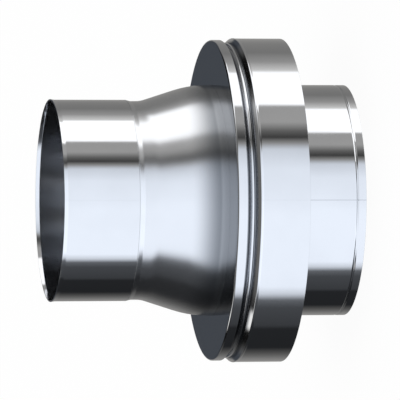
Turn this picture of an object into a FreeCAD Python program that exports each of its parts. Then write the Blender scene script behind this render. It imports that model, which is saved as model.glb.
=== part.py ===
"""Flue pipe adapter: single-wall pipe above, insulated twin-wall pipe below.

Millimetres, +Z along the flue. The adapter stands on the end of its liner, and the
origin is on the flue axis at that end. Every metal piece is formed stainless sheet,
so each one is drawn as the path of its outer face and given its thickness inwards.
"""
import FreeCAD
import Part
import math
import os

# Sheet and the pipes that fit
gauge = 0.8
socket_bore = 130.0
flue_bore = 150.0
casing_bore = 210.8

# Single-wall socket
socket_length = 49.0
flare_length = 2.5
flare_rise = 0.4
flare_bend = 6.0

# Reducer from the socket to the liner
weld_land = 1.2
step_height = 1.6
step_bend = 1.2
neck_length = 7.8
cone_slope = 18.0
neck_bend = 20.0
shoulder_bend = 78.0
collar_above_plate = 12.7
collar_below_plate = 6.0

# Liner
liner_reach = 42.8
end_groove_height = 5.7
end_groove_width = 2.0
end_groove_depth = 0.6
end_groove_bend = 0.4
end_groove_brow = 1.0
stop_bead_gap = 0.6
stop_bead_width = 3.2
stop_bead_peak = 2.2
stop_bead_bend = 1.1
stop_bead_foot = 0.5

# Cover plate
cover_inset = 1.0
cover_bend = 1.4
flange_height = 6.3

# Casing socket
band_length = 31.7
lip_rise = 0.3
lip_bend = 1.0
lip_fall = 1.3
lip_fall_bend = 3.0
shoulder_width = 3.0
shoulder_height = 2.8
shoulder_round = 1.2
ledge_height = 0.6
valley_depth = 2.2
groove_depth = 4.0
groove_bend = 0.5
bead_above_valley = 1.4
bead_below_groove = 3.1
bead_peak = 2.2
bead_bend = 1.1
flange_gap = 0.8
stub_round = 1.0
stub_clearance = 1.0

# Insulation
wool_ease = 0.3

# Heights along the flue, from the liner's end up
band_edge_z = liner_reach
lip_z = band_edge_z + band_length
ledge_z = lip_z + shoulder_height
valley_z = ledge_z + ledge_height
bead_z = valley_z + bead_above_valley
groove_z = bead_z + bead_below_groove
flange_edge_z = groove_z + flange_gap
plate_top_z = flange_edge_z + flange_height
plate_under_z = plate_top_z - gauge
collar_end_z = plate_under_z - collar_below_plate
cone_base_z = plate_top_z + collar_above_plate

# Radii of the outer faces
liner_r = flue_bore / 2 + gauge
neck_r = socket_bore / 2
socket_r = neck_r + gauge
band_r = casing_bore / 2 + gauge
flange_r = band_r - cover_inset
stub_r = flange_r - gauge
groove_r = stub_r - groove_depth
valley_r = stub_r - valley_depth
lip_r = band_r + lip_rise
ledge_r = lip_r - shoulder_width

# Heights that follow from the slope of the cone
cone_tip_z = cone_base_z + (liner_r - neck_r) / math.tan(math.radians(cone_slope))
step_foot_z = cone_tip_z + neck_length
step_top_z = step_foot_z + step_height
socket_foot_z = step_top_z + weld_land
socket_top_z = socket_foot_z + socket_length


def at(radius, height):
    """A point of a profile, on the half plane that is turned about the flue axis."""
    return FreeCAD.Vector(radius, 0, height)


def right_of(travel):
    """The direction to the right of travel, from a sheet's outer face to its inner one."""
    return FreeCAD.Vector(travel.z, 0, -travel.x)


def travels(corners):
    """The unit direction of each straight run of a path."""
    return [(ahead - here).normalize() for here, ahead in zip(corners, corners[1:])]


def inner_corners(corners):
    """The corners of the sheet's inner face, one gauge to the right of the outer face."""
    sides = [right_of(travel) for travel in travels(corners)]
    shifted = [corners[0] + sides[0] * gauge]
    for corner, side, next_side in zip(corners[1:], sides, sides[1:]):
        shifted.append(corner + (side + next_side) * (gauge / (1 + side.dot(next_side))))
    shifted.append(corners[-1] + sides[-1] * gauge)
    return shifted


def inner_bends(corners, bends):
    """The bend radii of the inner face: tighter round an outward fold, wider in a valley."""
    runs = travels(corners)
    radii = []
    for travel, next_travel, bend in zip(runs, runs[1:], bends):
        folds_inwards = right_of(travel).dot(next_travel) > 0
        radii.append(bend - gauge if folds_inwards else bend + gauge)
    return radii


def bent_edges(corners, bends):
    """Straight runs joined by tangent arcs, with one bend radius for each inner corner."""
    edges = []
    start = corners[0]
    for before, corner, after, bend in zip(corners, corners[1:], corners[2:], bends):
        back = (before - corner).normalize()
        ahead = (after - corner).normalize()
        half_angle = back.getAngle(ahead) / 2
        reach = bend / math.tan(half_angle)
        centre = corner + (back + ahead).normalize() * (bend / math.sin(half_angle))
        crown = centre + (corner - centre).normalize() * bend
        edges.append(Part.LineSegment(start, corner + back * reach).toShape())
        edges.append(Part.Arc(corner + back * reach, crown, corner + ahead * reach).toShape())
        start = corner + ahead * reach
    edges.append(Part.LineSegment(start, corners[-1]).toShape())
    return edges


def turned(outline):
    """A closed profile turned about the flue axis."""
    wire = Part.Wire(Part.__sortEdges__(outline))
    return Part.Face(wire).revolve(at(0, 0), FreeCAD.Vector(0, 0, 1), 360)


def formed_sheet(corners, bends):
    """A round shell of sheet from the corners of its outer face, top or centre first."""
    inside = inner_corners(corners)
    outline = bent_edges(corners, bends)
    outline += bent_edges(inside, inner_bends(corners, bends))
    outline.append(Part.LineSegment(corners[0], inside[0]).toShape())
    outline.append(Part.LineSegment(corners[-1], inside[-1]).toShape())
    return turned(outline)


def socket_tube():
    """Rolled tube for the single-wall pipe, butt welded to the reducer, with an eased rim."""
    corners = [
        at(socket_r + flare_rise, socket_top_z),
        at(socket_r, socket_top_z - flare_length),
        at(socket_r, socket_foot_z),
    ]
    return formed_sheet(corners, [flare_bend])


def reducer_cone():
    """Spun cone: a step under the socket stops the pipe, and the collar carries the plate."""
    corners = [
        at(socket_r, socket_foot_z),
        at(socket_r, step_top_z),
        at(neck_r, step_foot_z),
        at(neck_r, cone_tip_z),
        at(liner_r, cone_base_z),
        at(liner_r, collar_end_z),
    ]
    return formed_sheet(corners, [step_bend, step_bend, neck_bend, shoulder_bend])


def liner_tube():
    """Inner flue pipe, butt welded under the collar, with a stop bead and an end groove."""
    bead_top_z = valley_z - stop_bead_gap
    bead_low_z = bead_top_z - stop_bead_width
    groove_half = end_groove_width / 2
    corners = [
        at(liner_r, collar_end_z),
        at(liner_r, bead_top_z),
        at(liner_r + stop_bead_peak, (bead_top_z + bead_low_z) / 2),
        at(liner_r, bead_low_z),
        at(liner_r, end_groove_height + groove_half),
        at(liner_r - end_groove_depth, end_groove_height),
        at(liner_r, end_groove_height - groove_half),
        at(liner_r, 0),
    ]
    bead = [stop_bead_foot, stop_bead_bend, stop_bead_foot]
    groove = [end_groove_brow, end_groove_bend, end_groove_brow]
    return formed_sheet(corners, bead + groove)


def cover_plate():
    """Pressed disc that closes the casing, its flange turned down over the casing's stub."""
    corners = [
        at(liner_r, plate_top_z),
        at(flange_r, plate_top_z),
        at(flange_r, flange_edge_z),
    ]
    return formed_sheet(corners, [cover_bend])


def casing_socket():
    """Outer shell: stub under the flange, deep groove, bead, shoulder and plain socket band."""
    corners = [
        at(stub_r, plate_under_z - stub_clearance),
        at(stub_r, flange_edge_z),
        at(groove_r, groove_z),
        at(valley_r + bead_peak, bead_z),
        at(valley_r, valley_z),
        at(ledge_r, ledge_z),
        at(lip_r, lip_z),
        at(band_r, lip_z - lip_fall),
        at(band_r, band_edge_z),
    ]
    top_bends = [stub_round, groove_bend, bead_bend, groove_bend]
    return formed_sheet(corners, top_bends + [shoulder_round, lip_bend, lip_fall_bend])


def insulation_ring():
    """Mineral wool packed between liner and casing, from the cover plate to the shoulder."""
    wool_r = groove_r - gauge - wool_ease
    corners = [
        at(liner_r, plate_under_z),
        at(wool_r, plate_under_z),
        at(wool_r, valley_z),
        at(liner_r, valley_z),
    ]
    closed = corners + corners[:1]
    return turned([Part.LineSegment(a, b).toShape() for a, b in zip(closed, closed[1:])])


pieces = {
    "socket_tube": socket_tube,
    "reducer_cone": reducer_cone,
    "liner_tube": liner_tube,
    "cover_plate": cover_plate,
    "casing_socket": casing_socket,
    "insulation_ring": insulation_ring,
}

os.makedirs("parts", exist_ok=True)
for name, make in pieces.items():
    make().exportStep(os.path.join("parts", name + ".step"))
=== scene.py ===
import math

import bmesh
import bpy
from mathutils import Matrix, Vector


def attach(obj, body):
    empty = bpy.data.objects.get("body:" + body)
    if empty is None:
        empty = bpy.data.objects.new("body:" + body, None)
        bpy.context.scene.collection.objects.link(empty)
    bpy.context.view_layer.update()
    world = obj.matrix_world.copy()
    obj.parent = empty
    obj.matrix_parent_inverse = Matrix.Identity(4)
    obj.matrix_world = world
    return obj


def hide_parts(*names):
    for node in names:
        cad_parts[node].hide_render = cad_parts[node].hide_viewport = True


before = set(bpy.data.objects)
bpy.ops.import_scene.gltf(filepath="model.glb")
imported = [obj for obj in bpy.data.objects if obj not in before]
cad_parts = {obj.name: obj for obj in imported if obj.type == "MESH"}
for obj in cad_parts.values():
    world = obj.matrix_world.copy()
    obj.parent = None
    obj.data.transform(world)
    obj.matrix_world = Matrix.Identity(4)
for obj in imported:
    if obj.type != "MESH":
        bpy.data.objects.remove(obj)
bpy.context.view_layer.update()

# Reducer: a cone spun from bright stainless sheet. Its neck steps out to the socket above,
# and its wide end is a straight collar that the cover plate and the liner are welded to.
mm = 0.001
gauge = 0.8
liner_r, neck_r, socket_r = 75.8, 65.0, 65.8
collar_above_plate, collar_below_plate = 12.7, 6.0
cone_slope = math.radians(18)
neck_length, step_height, weld_land = 7.8, 1.6, 1.2
plate_top_z = 89.5
plate_under_z = plate_top_z - gauge
collar_end_z = plate_under_z - collar_below_plate
cone_base_z = plate_top_z + collar_above_plate
cone_tip_z = cone_base_z + (liner_r - neck_r) / math.tan(cone_slope)
step_foot_z = cone_tip_z + neck_length
step_top_z = step_foot_z + step_height
socket_foot_z = step_top_z + weld_land
step_ease = 0.7
steps_round = 360
degrees_a_step = 6
cut_edge = 0.12
weld_core, weld_edge = 0.25, 0.6
steel, smear = (0.60, 0.61, 0.63), (0.575, 0.585, 0.605)
# The first of these darker tones serves a dull mill finish and painted shade in corners and grooves; the
# second is the weld seam's.
shade_and_mill_tone, weld_tone = (0.18, 0.19, 0.205), (0.40, 0.41, 0.43)


class Shade:
    """A socket of a finish, with plain arithmetic and one way to add any other node."""

    def __init__(self, tree, socket=None):
        self.tree = tree
        self.socket = socket

    def make(self, kind, settings=None, inputs=None, output=0):
        """A new node, with its settings and then the values or links of its sockets."""
        node = self.tree.nodes.new(kind)
        for name, value in (settings or {}).items():
            if name == "stops":
                ramp = node.color_ramp
                while len(ramp.elements) < len(value):
                    ramp.elements.new(1.0)
                for stop, (place, tone) in zip(ramp.elements, value):
                    stop.position = place
                    stop.color = (*tone, 1.0)
            else:
                setattr(node, name, value)
        for name, value in (inputs or {}).items():
            if isinstance(value, Shade):
                self.tree.links.new(value.socket, node.inputs[name])
            else:
                node.inputs[name].default_value = value
        return Shade(self.tree, node.outputs[output])

    def maths(self, operation, first, second):
        return self.make("ShaderNodeMath", {"operation": operation}, {0: first, 1: second})

    def __add__(self, other):
        return self.maths("ADD", self, other)

    __radd__ = __add__

    def __mul__(self, other):
        return self.maths("MULTIPLY", self, other)

    __rmul__ = __mul__

    def __sub__(self, other):
        return self.maths("SUBTRACT", self, other)

    def __rsub__(self, other):
        return self.maths("SUBTRACT", other, self)

    def __truediv__(self, other):
        return self.maths("DIVIDE", self, other)

    def smooth(self, low, high, start=0.0, end=1.0):
        """An eased change from start to end, as the value goes from low to high."""
        return self.make("ShaderNodeMapRange", {"interpolation_type": "SMOOTHSTEP"},
                         {"Value": self, "From Min": low, "From Max": high, "To Min": start, "To Max": end})


def mixed(shade, share, below, above):
    """One colour or card fading into another, each a link or three plain parts."""
    below, above = (tone if isinstance(tone, Shade) else (*tone, 1) for tone in (below, above))
    return shade.make("ShaderNodeMix", {"data_type": "RGBA"}, {"Factor": share, "A": below, "B": above},
                      output="Result")


def one_axis(shade, place, axis):
    """How far a place lies along one axis."""
    return shade.make("ShaderNodeSeparateXYZ", {}, {"Vector": place}, output=axis)


def size_of(shade, value):
    """A value without its sign."""
    return shade.make("ShaderNodeMath", {"operation": "ABSOLUTE"}, {0: value})


def finish_of(name):
    """A new material, its Principled shader and the start of its shader maths."""
    material = bpy.data.materials.new(name)
    material.use_nodes = True
    shader = material.node_tree.nodes["Principled BSDF"]
    return material, shader, Shade(material.node_tree)


def bright_sheet(name, grain_axis, seam=0.0, haze_low=0.05, dull_and_shade_marks=None):
    """Bright stainless with faint grain and haze, a weld seam in front, and darker, duller places: a dull
    mill finish, or painted shade in corners and grooves.
    """
    material, shader, shade = finish_of(name)
    shader.inputs["Metallic"].default_value = 1.0
    place = shade.make("ShaderNodeTexCoord", output="Object")
    stretched = shade.make("ShaderNodeMapping", {}, {"Vector": place, "Scale": grain_axis})
    grain = shade.make("ShaderNodeTexNoise", {}, {"Vector": stretched, "Scale": 900.0, "Detail": 3.0})
    haze = shade.make("ShaderNodeTexNoise", {}, {"Vector": place, "Scale": 22.0, "Detail": 4.0})
    tint = mixed(shade, haze.smooth(0.35, 0.7), steel, smear)
    rough = haze_low + haze.smooth(0.4, 0.75, 0.0, 0.035) + grain.smooth(0.3, 0.7, 0.0, 0.02)
    height = grain * 0.25
    # Darker, duller places: painted shade in corners and grooves, and on the socket's inner face a dull mill
    # finish.
    if dull_and_shade_marks:
        level_part = shade.make("ShaderNodeVectorMath", {"operation": "MULTIPLY"}, {0: place, 1: (1, 1, 0)})
        radius = shade.make("ShaderNodeVectorMath", {"operation": "LENGTH"}, {0: level_part}, output="Value")
        dark, coarse = dull_and_shade_marks(radius, one_axis(shade, place, "Z"))
        rough = rough + coarse
        tint = mixed(shade, dark, tint, shade_and_mill_tone)
    if seam:
        across = size_of(shade, one_axis(shade, place, "X"))
        behind = one_axis(shade, place, "Y").smooth(-60 * mm, -50 * mm)
        weld = (1 - across.smooth(weld_core * mm, weld_edge * mm)) * (1 - behind) * seam
        ripple = shade.make("ShaderNodeTexNoise", {}, {"Vector": place, "Scale": 1600.0})
        height = height + weld * (2.0 + ripple)
        rough = rough + weld * 0.12
        tint = mixed(shade, weld * 0.5, tint, weld_tone)
    bump = shade.make("ShaderNodeBump", {}, {"Strength": 0.06, "Distance": 0.02 * mm, "Height": height})
    for socket_name, value in (("Base Color", tint), ("Roughness", rough), ("Normal", bump)):
        shade.tree.links.new(value.socket, shader.inputs[socket_name])
    return material


def drawn_to(form, tip, place):
    """The next straight run of a profile, from its tip to a place."""
    ahead = bmesh.ops.extrude_vert_indiv(form, verts=[tip])["verts"][0]
    bmesh.ops.translate(form, verts=[ahead], vec=place - tip.co)
    return ahead


def turned(form):
    """Turns the profile in a form about the flue axis and leaves it closed, facing outwards."""
    bmesh.ops.spin(form, geom=form.verts[:] + form.edges[:], cent=(0, 0, 0), axis=(0, 0, 1),
                   angle=2 * math.pi, steps=steps_round, use_merge=True, use_duplicate=False)
    bmesh.ops.remove_doubles(form, verts=form.verts[:], dist=0.002 * mm)
    bmesh.ops.recalc_face_normals(form, faces=form.faces[:])


def seated(name, form, material):
    """Makes the piece from its form, with smooth faces and its finish."""
    mesh = bpy.data.meshes.new(name)
    form.to_mesh(mesh)
    form.free()
    mesh.shade_smooth()
    mesh.materials.append(material)
    piece = bpy.data.objects.new(name, mesh)
    bpy.context.scene.collection.objects.link(piece)
    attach(piece, "root")
    return piece


def formed_sheet(name, corners, bends, material):
    """A round shell of sheet from the path of its outer face, top or centre first, and its bend radii."""
    form = bmesh.new()
    path = [Vector((radius, 0, height)) * mm for radius, height in corners]
    tip = bmesh.ops.create_vert(form, co=path[0])["vert"][0]
    for before, corner, after, bend in zip(path, path[1:], path[2:], bends):
        back = (before - corner).normalized()
        ahead = (after - corner).normalized()
        half = back.angle(ahead) / 2
        turn = math.pi - 2 * half
        tip = drawn_to(form, tip, corner + back * (bend * mm / math.tan(half)))
        centre = corner + (back + ahead).normalized() * (bend * mm / math.sin(half))
        arc = bmesh.ops.spin(form, geom=[tip], cent=centre, axis=ahead.cross(back), angle=turn,
                             steps=max(5, math.ceil(math.degrees(turn) / degrees_a_step)))
        tip = [part for part in arc["geom_last"] if isinstance(part, bmesh.types.BMVert)][0]
    drawn_to(form, tip, path[-1])
    turned(form)
    start = (path[1] - path[0]).normalized()
    outward = Vector((-start.z, 0, start.x))
    first = min(form.faces, key=lambda face: (face.calc_center_median() - (path[0] + path[1]) / 2).length)
    if first.normal.dot(outward) < 0:
        bmesh.ops.reverse_faces(form, faces=form.faces[:])
    piece = seated(name, form, material)
    wall = piece.modifiers.new("sheet gauge", "SOLIDIFY")
    wall.thickness = gauge * mm
    wall.offset = -1
    wall.use_even_offset = True
    edge = piece.modifiers.new("cut edge", "BEVEL")
    edge.width = cut_edge * mm
    edge.segments = 2
    edge.limit_method = "ANGLE"
    edge.angle_limit = math.radians(50)
    even = piece.modifiers.new("even shading", "WEIGHTED_NORMAL")
    even.weight = 100
    return piece


def painted_collar_shade(radius, along):
    """Painted shade: the collar darker, and a little rougher, next to the cover plate, in the corner between
    them.
    """
    fading = along.smooth((plate_top_z + 4.5) * mm, (plate_top_z + 24.5) * mm, 1.0, 0.0)
    dark = fading * along.smooth((plate_top_z + 4.0) * mm, (plate_top_z + 6.0) * mm, 0.85, 1.0)
    return dark, dark * 0.05


# The collar is painted darker next to the cover plate, as painted shade in that corner.
spun_sheet = bright_sheet("spun_stainless", (0.35, 0.35, 6.0), haze_low=0.17, dull_and_shade_marks=painted_collar_shade)
reducer = formed_sheet(
    "spun_reducer",
    [(socket_r, socket_foot_z), (socket_r, step_top_z + step_ease), (neck_r, step_foot_z - step_ease),
     (neck_r, cone_tip_z), (liner_r, cone_base_z), (liner_r, collar_end_z)],
    [1.8, 3.0, 20.0, 78.0], spun_sheet)
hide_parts("reducer_cone")

# Socket tube: rolled from bright stainless sheet for the plain end of a single-wall pipe.
# It is butt welded to the step of the reducer, and its rim is eased outwards as a lead-in.
socket_top_z = socket_foot_z + 49.0
flare_length, flare_rise = 2.5, 0.4
rolled_grain = (6.0, 6.0, 0.35)
faint_seam = 0.12


def mill_finish(radius, along):
    """The inner face is left as it came from the mill, a little dull, and least so at the rim."""
    inside = radius.smooth((neck_r + 0.2) * mm, (neck_r + 0.5) * mm, 1.0, 0.0)
    dull = inside * along.smooth((socket_top_z - 2.6) * mm, (socket_top_z - 1.8) * mm, 1.0, 0.25)
    return dull * 0.06, dull * 0.06


rolled_sheet = bright_sheet("rolled_stainless", rolled_grain, seam=faint_seam, dull_and_shade_marks=mill_finish)
socket = formed_sheet(
    "rolled_socket",
    [(socket_r + flare_rise, socket_top_z), (socket_r, socket_top_z - flare_length),
     (socket_r, socket_foot_z)],
    [6.0], rolled_sheet)
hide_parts("socket_tube")

# Liner: the inner flue pipe, rolled and seam welded from stainless sheet and butt welded under
# the collar. A stop bead is rolled out below the insulation and a groove near its free end.
valley_z = 77.9
stop_bead_peak = 2.2
stop_bead_top_z, stop_bead_low_z = valley_z - 0.6, valley_z - 3.8
end_groove_z, end_groove_half, end_groove_depth = 5.7, 1.0, 0.6
liner_sheet = bright_sheet("liner_stainless", rolled_grain, seam=1.0)
liner = formed_sheet(
    "seam_welded_liner",
    [(liner_r, collar_end_z), (liner_r, stop_bead_top_z),
     (liner_r + stop_bead_peak, (stop_bead_top_z + stop_bead_low_z) / 2), (liner_r, stop_bead_low_z),
     (liner_r, end_groove_z + end_groove_half), (liner_r - end_groove_depth, end_groove_z),
     (liner_r, end_groove_z - end_groove_half), (liner_r, 0)],
    [0.5, 1.1, 0.5, 1.0, 0.4, 1.0], liner_sheet)
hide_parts("liner_tube")

# Cover plate: a disc pressed from stainless sheet that closes the casing round the collar.
# Its edge is turned down as a flange that sits over the stub of the casing.
flange_r, flange_edge_z = 105.2, 83.2
pressed_sheet = bright_sheet("pressed_stainless", (1.0, 1.0, 1.0))
cover = formed_sheet(
    "pressed_cover",
    [(liner_r, plate_top_z), (flange_r, plate_top_z), (flange_r, flange_edge_z)],
    [1.4], pressed_sheet)
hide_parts("cover_plate")

# Insulation: mineral wool packed round the liner, between the cover plate and the shoulder.
# Its fibres lie every way, and the face that shows from below is a little uneven.
groove_r = 100.4
wool_r = groove_r - gauge - 0.3
wool_ease = 0.6
dark_wool, pale_wool, grey_wool = (0.40, 0.34, 0.21), (0.66, 0.60, 0.43), (0.50, 0.46, 0.36)
wool_finish, wool_shader, shade = finish_of("mineral_wool")
place = shade.make("ShaderNodeTexCoord", output="Object")
fibre = shade.make("ShaderNodeTexNoise", {},
                   {"Vector": place, "Scale": 420.0, "Detail": 8.0, "Distortion": 2.5})
clump = shade.make("ShaderNodeTexNoise", {}, {"Vector": place, "Scale": 60.0, "Detail": 3.0})
strand = shade.make("ShaderNodeTexVoronoi", {"feature": "DISTANCE_TO_EDGE"},
                    {"Vector": place, "Scale": 260.0, "Randomness": 1.0})
tone = mixed(shade, fibre.smooth(0.35, 0.65), dark_wool, pale_wool)
tone = mixed(shade, clump.smooth(0.45, 0.7, 0.0, 0.45), tone, grey_wool)
relief = fibre + clump * 0.6 + strand.smooth(0.0, 0.1, 0.3, 0.0)
nap = shade.make("ShaderNodeBump", {}, {"Strength": 0.8, "Distance": 0.8 * mm, "Height": relief})
for socket_name, value in (("Base Color", tone), ("Normal", nap)):
    shade.tree.links.new(value.socket, wool_shader.inputs[socket_name])
wool_shader.inputs["Roughness"].default_value = 0.95
form = bmesh.new()
first = tip = bmesh.ops.create_vert(form, co=Vector((liner_r, 0, plate_under_z)) * mm)["vert"][0]
for radius, height in ((wool_r, plate_under_z), (wool_r, valley_z + wool_ease),
                       (wool_r - wool_ease, valley_z), (liner_r + wool_ease, valley_z),
                       (liner_r, valley_z + wool_ease)):
    tip = drawn_to(form, tip, Vector((radius, 0, height)) * mm)
bmesh.ops.contextual_create(form, geom=[tip, first])
long_edges = [edge for edge in form.edges if edge.calc_length() > 15 * mm]
bmesh.ops.subdivide_edges(form, edges=long_edges, cuts=15)
turned(form)
wool = seated("packed_wool", form, wool_finish)
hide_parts("insulation_ring")

# Casing socket: the outer shell, rolled from bright stainless sheet. Its stub sits under the
# flange, then come a deep groove, a bead, a ledge, a conical shoulder and the wide plain band,
# whose open edge takes the outer wall of the twin-wall pipe.
stub_r, stub_top_z = flange_r - gauge, plate_under_z - 1.0
band_r, band_edge_z = 106.2, 42.8
groove_z, bead_z, ledge_z, lip_z = 82.4, 79.3, 77.3, 74.5
bead_r, valley_r, ledge_r, lip_r = 104.4, 102.2, 103.5, 106.49
lip_fall = 1.3


def painted_groove_shade(radius, along):
    """Painted shade in the groove and, below the bead, in the valley, which also get a little rougher."""
    groove = radius.smooth((groove_r + 0.8) * mm, (groove_r + 2.9) * mm, 0.85, 0.0)
    valley = along.smooth((valley_z + 0.4) * mm, (valley_z + 0.8) * mm, 1.0, 0.0)
    valley = valley * radius.smooth((valley_r + 1.6) * mm, (valley_r + 3.0) * mm, 1.0, 0.0)
    dark = groove.maths("MAXIMUM", groove, valley)
    return dark, dark * 0.05


# The groove and the valley of the casing are painted darker, as painted shade.
casing_sheet = bright_sheet("rolled_casing_stainless", rolled_grain, seam=faint_seam, dull_and_shade_marks=painted_groove_shade)
casing = formed_sheet(
    "rolled_casing",
    [(stub_r, stub_top_z), (stub_r, flange_edge_z), (groove_r, groove_z), (bead_r, bead_z),
     (valley_r, valley_z), (ledge_r, ledge_z), (lip_r, lip_z), (band_r, lip_z - lip_fall),
     (band_r, band_edge_z)],
    [1.0, 0.5, 1.1, 0.5, 1.2, 1.0, 3.0], casing_sheet)
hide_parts("casing_socket")

# Floor: a plain pale surface that the adapter stands on, and that keeps its soft shadow. To the
# camera it is almost white, and the metal doesn't mirror it.
floor_radius = 40
floor_glow = 0.94
floor_finish, floor_shader, shade = finish_of("pale_floor")
place = shade.make("ShaderNodeTexCoord", output="Object")
speck = shade.make("ShaderNodeTexNoise", {}, {"Vector": place, "Scale": 40.0, "Detail": 2.0})
pale = mixed(shade, speck, (0.94, 0.94, 0.94), (0.96, 0.96, 0.96))
shade.tree.links.new(pale.socket, floor_shader.inputs["Base Color"])
floor_shader.inputs["Roughness"].default_value = 0.9
floor_shader.inputs["Specular IOR Level"].default_value = 0.0
seen = shade.make("ShaderNodeLightPath", output="Is Camera Ray")
glow = shade.make("ShaderNodeEmission", {}, {"Color": (1, 1, 1, 1), "Strength": 1.0})
plain_floor = Shade(shade.tree, floor_shader.outputs[0])
floor_mix = shade.make("ShaderNodeMixShader", {}, {0: seen * floor_glow, 1: plain_floor, 2: glow})
shade.tree.links.new(floor_mix.socket, shade.tree.nodes["Material Output"].inputs["Surface"])
form = bmesh.new()
bmesh.ops.create_circle(form, cap_ends=True, segments=96, radius=floor_radius)
mesh = bpy.data.meshes.new("floor")
form.to_mesh(mesh)
form.free()
mesh.materials.append(floor_finish)
floor = bpy.data.objects.new("floor", mesh)
bpy.context.scene.collection.objects.link(floor)
floor.visible_glossy = False

# Studio: a plain white surround, and for the bright metal to mirror, a ring of soft boxes and
# dark cloths round the flue axis. Angles run from the front to the back, on the +X side for the
# upper cards and on the -X side for the lower ones.
world = bpy.data.worlds.new("studio")
bpy.context.scene.world = world
world.use_nodes = True
shade = Shade(world.node_tree)
world.node_tree.nodes.remove(world.node_tree.nodes["Background"])
toward = shade.make("ShaderNodeTexCoord", output="Generated")
along_x, along_y, along_z = (one_axis(shade, toward, axis) for axis in "XYZ")
angle = shade.make("ShaderNodeMath", {"operation": "ARCTAN2"},
                   {0: size_of(shade, along_x), 1: 0 - along_y}) / math.pi


def level(grey, tint=(1.0, 1.0, 1.0)):
    """The strength of a lit card that shows as this grey on bright steel."""
    return tuple((grey / 255) ** 2.2 / base * part for base, part in zip(steel, tint))


def ring_of(cards, turned_by):
    """Cards side by side round the flue axis, each at its angle in degrees."""
    stops = [(degrees / 180, tone) for degrees, tone in cards]
    return shade.make("ShaderNodeValToRGB", {"stops": stops}, {"Fac": turned_by})


cool = (0.93, 1.0, 1.12)
white = (1.8, 1.8, 1.8)
slate = level(64, (0.85, 0.97, 1.18))
upper = ring_of((
    (0, level(236, cool)), (22, level(230, cool)), (36, level(204, cool)), (41, level(130)),
    (45, level(58)), (50, level(92)), (57, level(150)), (70, level(148)), (72, white),
    (103, white), (105, level(195)), (116, level(140)), (130, level(111)), (150, level(115)),
    (180, level(130))), angle)
lower = ring_of((
    (0, level(236, cool)), (10, level(241, cool)), (64, level(240, cool)), (70, level(205, cool)),
    (75, level(96, cool)), (82, level(70, cool)), (100, level(60, cool)), (104, level(40, cool)),
    (130, level(38, cool)), (140, level(76)), (155, level(112)), (180, level(130))),
    angle + along_z.smooth(-0.17, 0.35, 0.0, 0.03))
ring = mixed(shade, along_x.smooth(-0.001, 0.001), lower, upper)

# Above and below the ring come a white card over the top, a brighter low rim, slate and black
# cloths behind, a grey card at the pole, a narrow lamp under it and slate for the floor.
over_top = angle.smooth(0.385, 0.405) * angle.smooth(0.62, 0.65, 1.0, 0.0) * along_x.smooth(-0.01, 0.01)
ring = mixed(shade, over_top * along_z.smooth(-0.17, 0.12), ring, white)
low_rim = along_z.smooth(-0.40, -0.22, 1.12, 1.0)
ring = shade.make("ShaderNodeVectorMath", {"operation": "SCALE"}, {"Vector": ring, "Scale": low_rim})
ring = mixed(shade, along_z.smooth(0.06, 0.14) * angle.smooth(0.78, 0.86), ring, slate)
ring = mixed(shade, along_z.smooth(0.25, 0.5) * angle.smooth(0.55, 0.7), ring, level(22))
ring = mixed(shade, along_z.smooth(0.70, 0.90), ring, level(98))
lamp = along_z.smooth(0.57, 0.62) * along_z.smooth(0.69, 0.74, 1.0, 0.0)
lamp = lamp * along_x.smooth(-0.01, 0.01, 1.0, 0.0)
lamp = lamp * angle.smooth(0.40, 0.47) * angle.smooth(0.80, 0.86, 1.0, 0.0)
ring = mixed(shade, lamp, ring, level(235))
ring = mixed(shade, along_z.smooth(-0.98, -0.90, 1.0, 0.0), ring, slate)
camera_ray = shade.make("ShaderNodeLightPath", output="Is Camera Ray")
glossy_ray = shade.make("ShaderNodeLightPath", output="Is Glossy Ray")
plain = mixed(shade, glossy_ray, (0.95, 0.95, 0.95), ring)
surround = mixed(shade, camera_ray, plain, (1, 1, 1))
sky = shade.make("ShaderNodeBackground", {}, {"Color": surround, "Strength": 1.0})
shade.tree.links.new(sky.socket, world.node_tree.nodes["World Output"].inputs["Surface"])

# Camera: in front of the adapter and a little on the socket's side of it, turned so that the
# flue axis lies across the picture with the socket on the left.
tilt, roll = math.radians(10.1), math.radians(-0.1)
distance = 3.125
right = Vector((0, -math.sin(tilt), -math.cos(tilt)))
up = Vector((1, 0, 0))
back = right.cross(up)
aim = Vector((0.2, 0, 95.5)) * mm
camera_data = bpy.data.cameras.new("camera")
camera_data.sensor_width = 36
camera_data.lens = 428.7
camera_data.clip_end = 200
camera = bpy.data.objects.new("camera", camera_data)
bpy.context.scene.collection.objects.link(camera)
turn = Matrix((right, up, back)).transposed() @ Matrix.Rotation(roll, 3, "Z")
camera.matrix_world = Matrix.Translation(aim + back * distance) @ turn.to_4x4()
bpy.context.scene.camera = camera

bpy.context.scene.view_settings.view_transform = "Standard"
